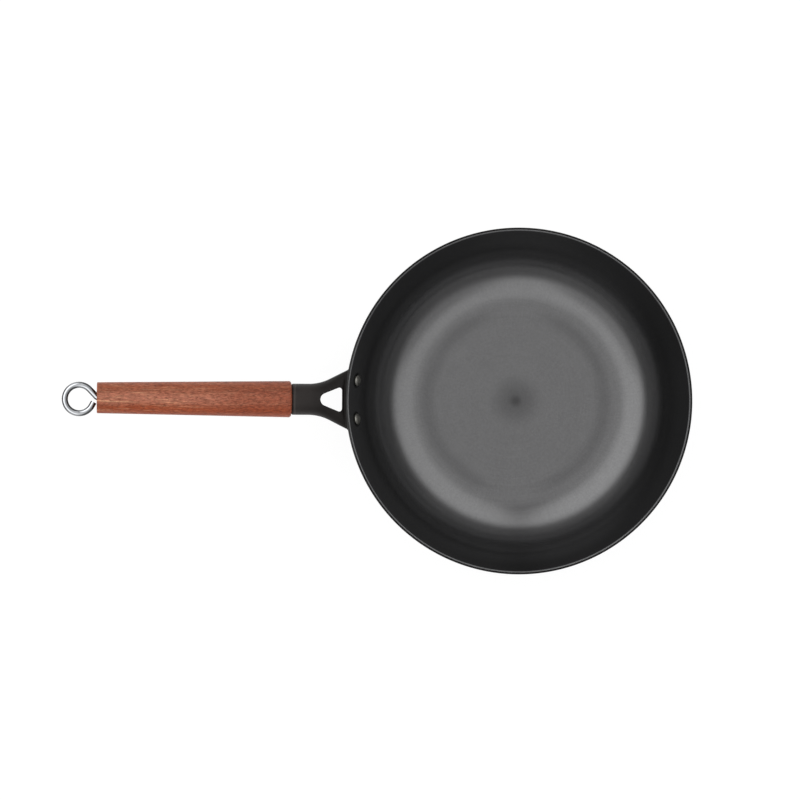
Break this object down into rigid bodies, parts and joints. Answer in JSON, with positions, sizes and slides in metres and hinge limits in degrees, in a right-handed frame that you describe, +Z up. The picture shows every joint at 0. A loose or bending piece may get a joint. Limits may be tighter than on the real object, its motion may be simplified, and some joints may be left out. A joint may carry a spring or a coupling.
{
  "type": "iron frying pan",
  "caption": "Deep round iron frying pan with a riveted fork bracket, a tapered wooden handle and a screw-in eye bolt that clamps the handle and hangs the pan.",
  "frame": {"origin": "centre of the flat underside, on the surface that the pan stands on", "axes": "+Z up; the handle points to -X and rises a little; +Y is to the left seen from the end of the handle"},
  "size_m": [0.5077, 0.28, 0.0823],
  "materials": {
    "pan_iron": "blackened sheet iron, fine circular finishing marks, satin",
    "bracket_paint": "satin black heat-resistant paint",
    "rivet_steel": "bare steel, lightly dulled",
    "inner_steel": "zinc-plated steel",
    "handle_wood": "reddish hardwood, oiled, open pores",
    "eye_plating": "bright plating"
  },
  "bodies": {
    "pan": {"pan_body": "pan_iron", "mount_plate": "bracket_paint", "rivet_left": "rivet_steel", "rivet_right": "rivet_steel", "handle_bracket": "bracket_paint", "nut_plate": "inner_steel", "tie_nut": "inner_steel"},
    "handle": {"wooden_handle": "handle_wood"},
    "eye": {"eye_bolt": "eye_plating"}
  },
  "joints": [
    {"name": "eye_turn", "type": "hinge", "parent": "handle", "child": "eye", "pos_m": [-0.33977, 0, 0.06998], "axis": [-0.9945, 0, 0.1045], "range_deg": [0, 2880]},
    {"name": "handle_draw", "type": "slide", "parent": "pan", "child": "handle", "axis": [-0.9945, 0, 0.1045], "range_m": [0, 0.0064]}
  ],
  "couplings": [
    {"joint": "eye_turn", "follows": "handle_draw", "rad_per_m": 7854}
  ]
}
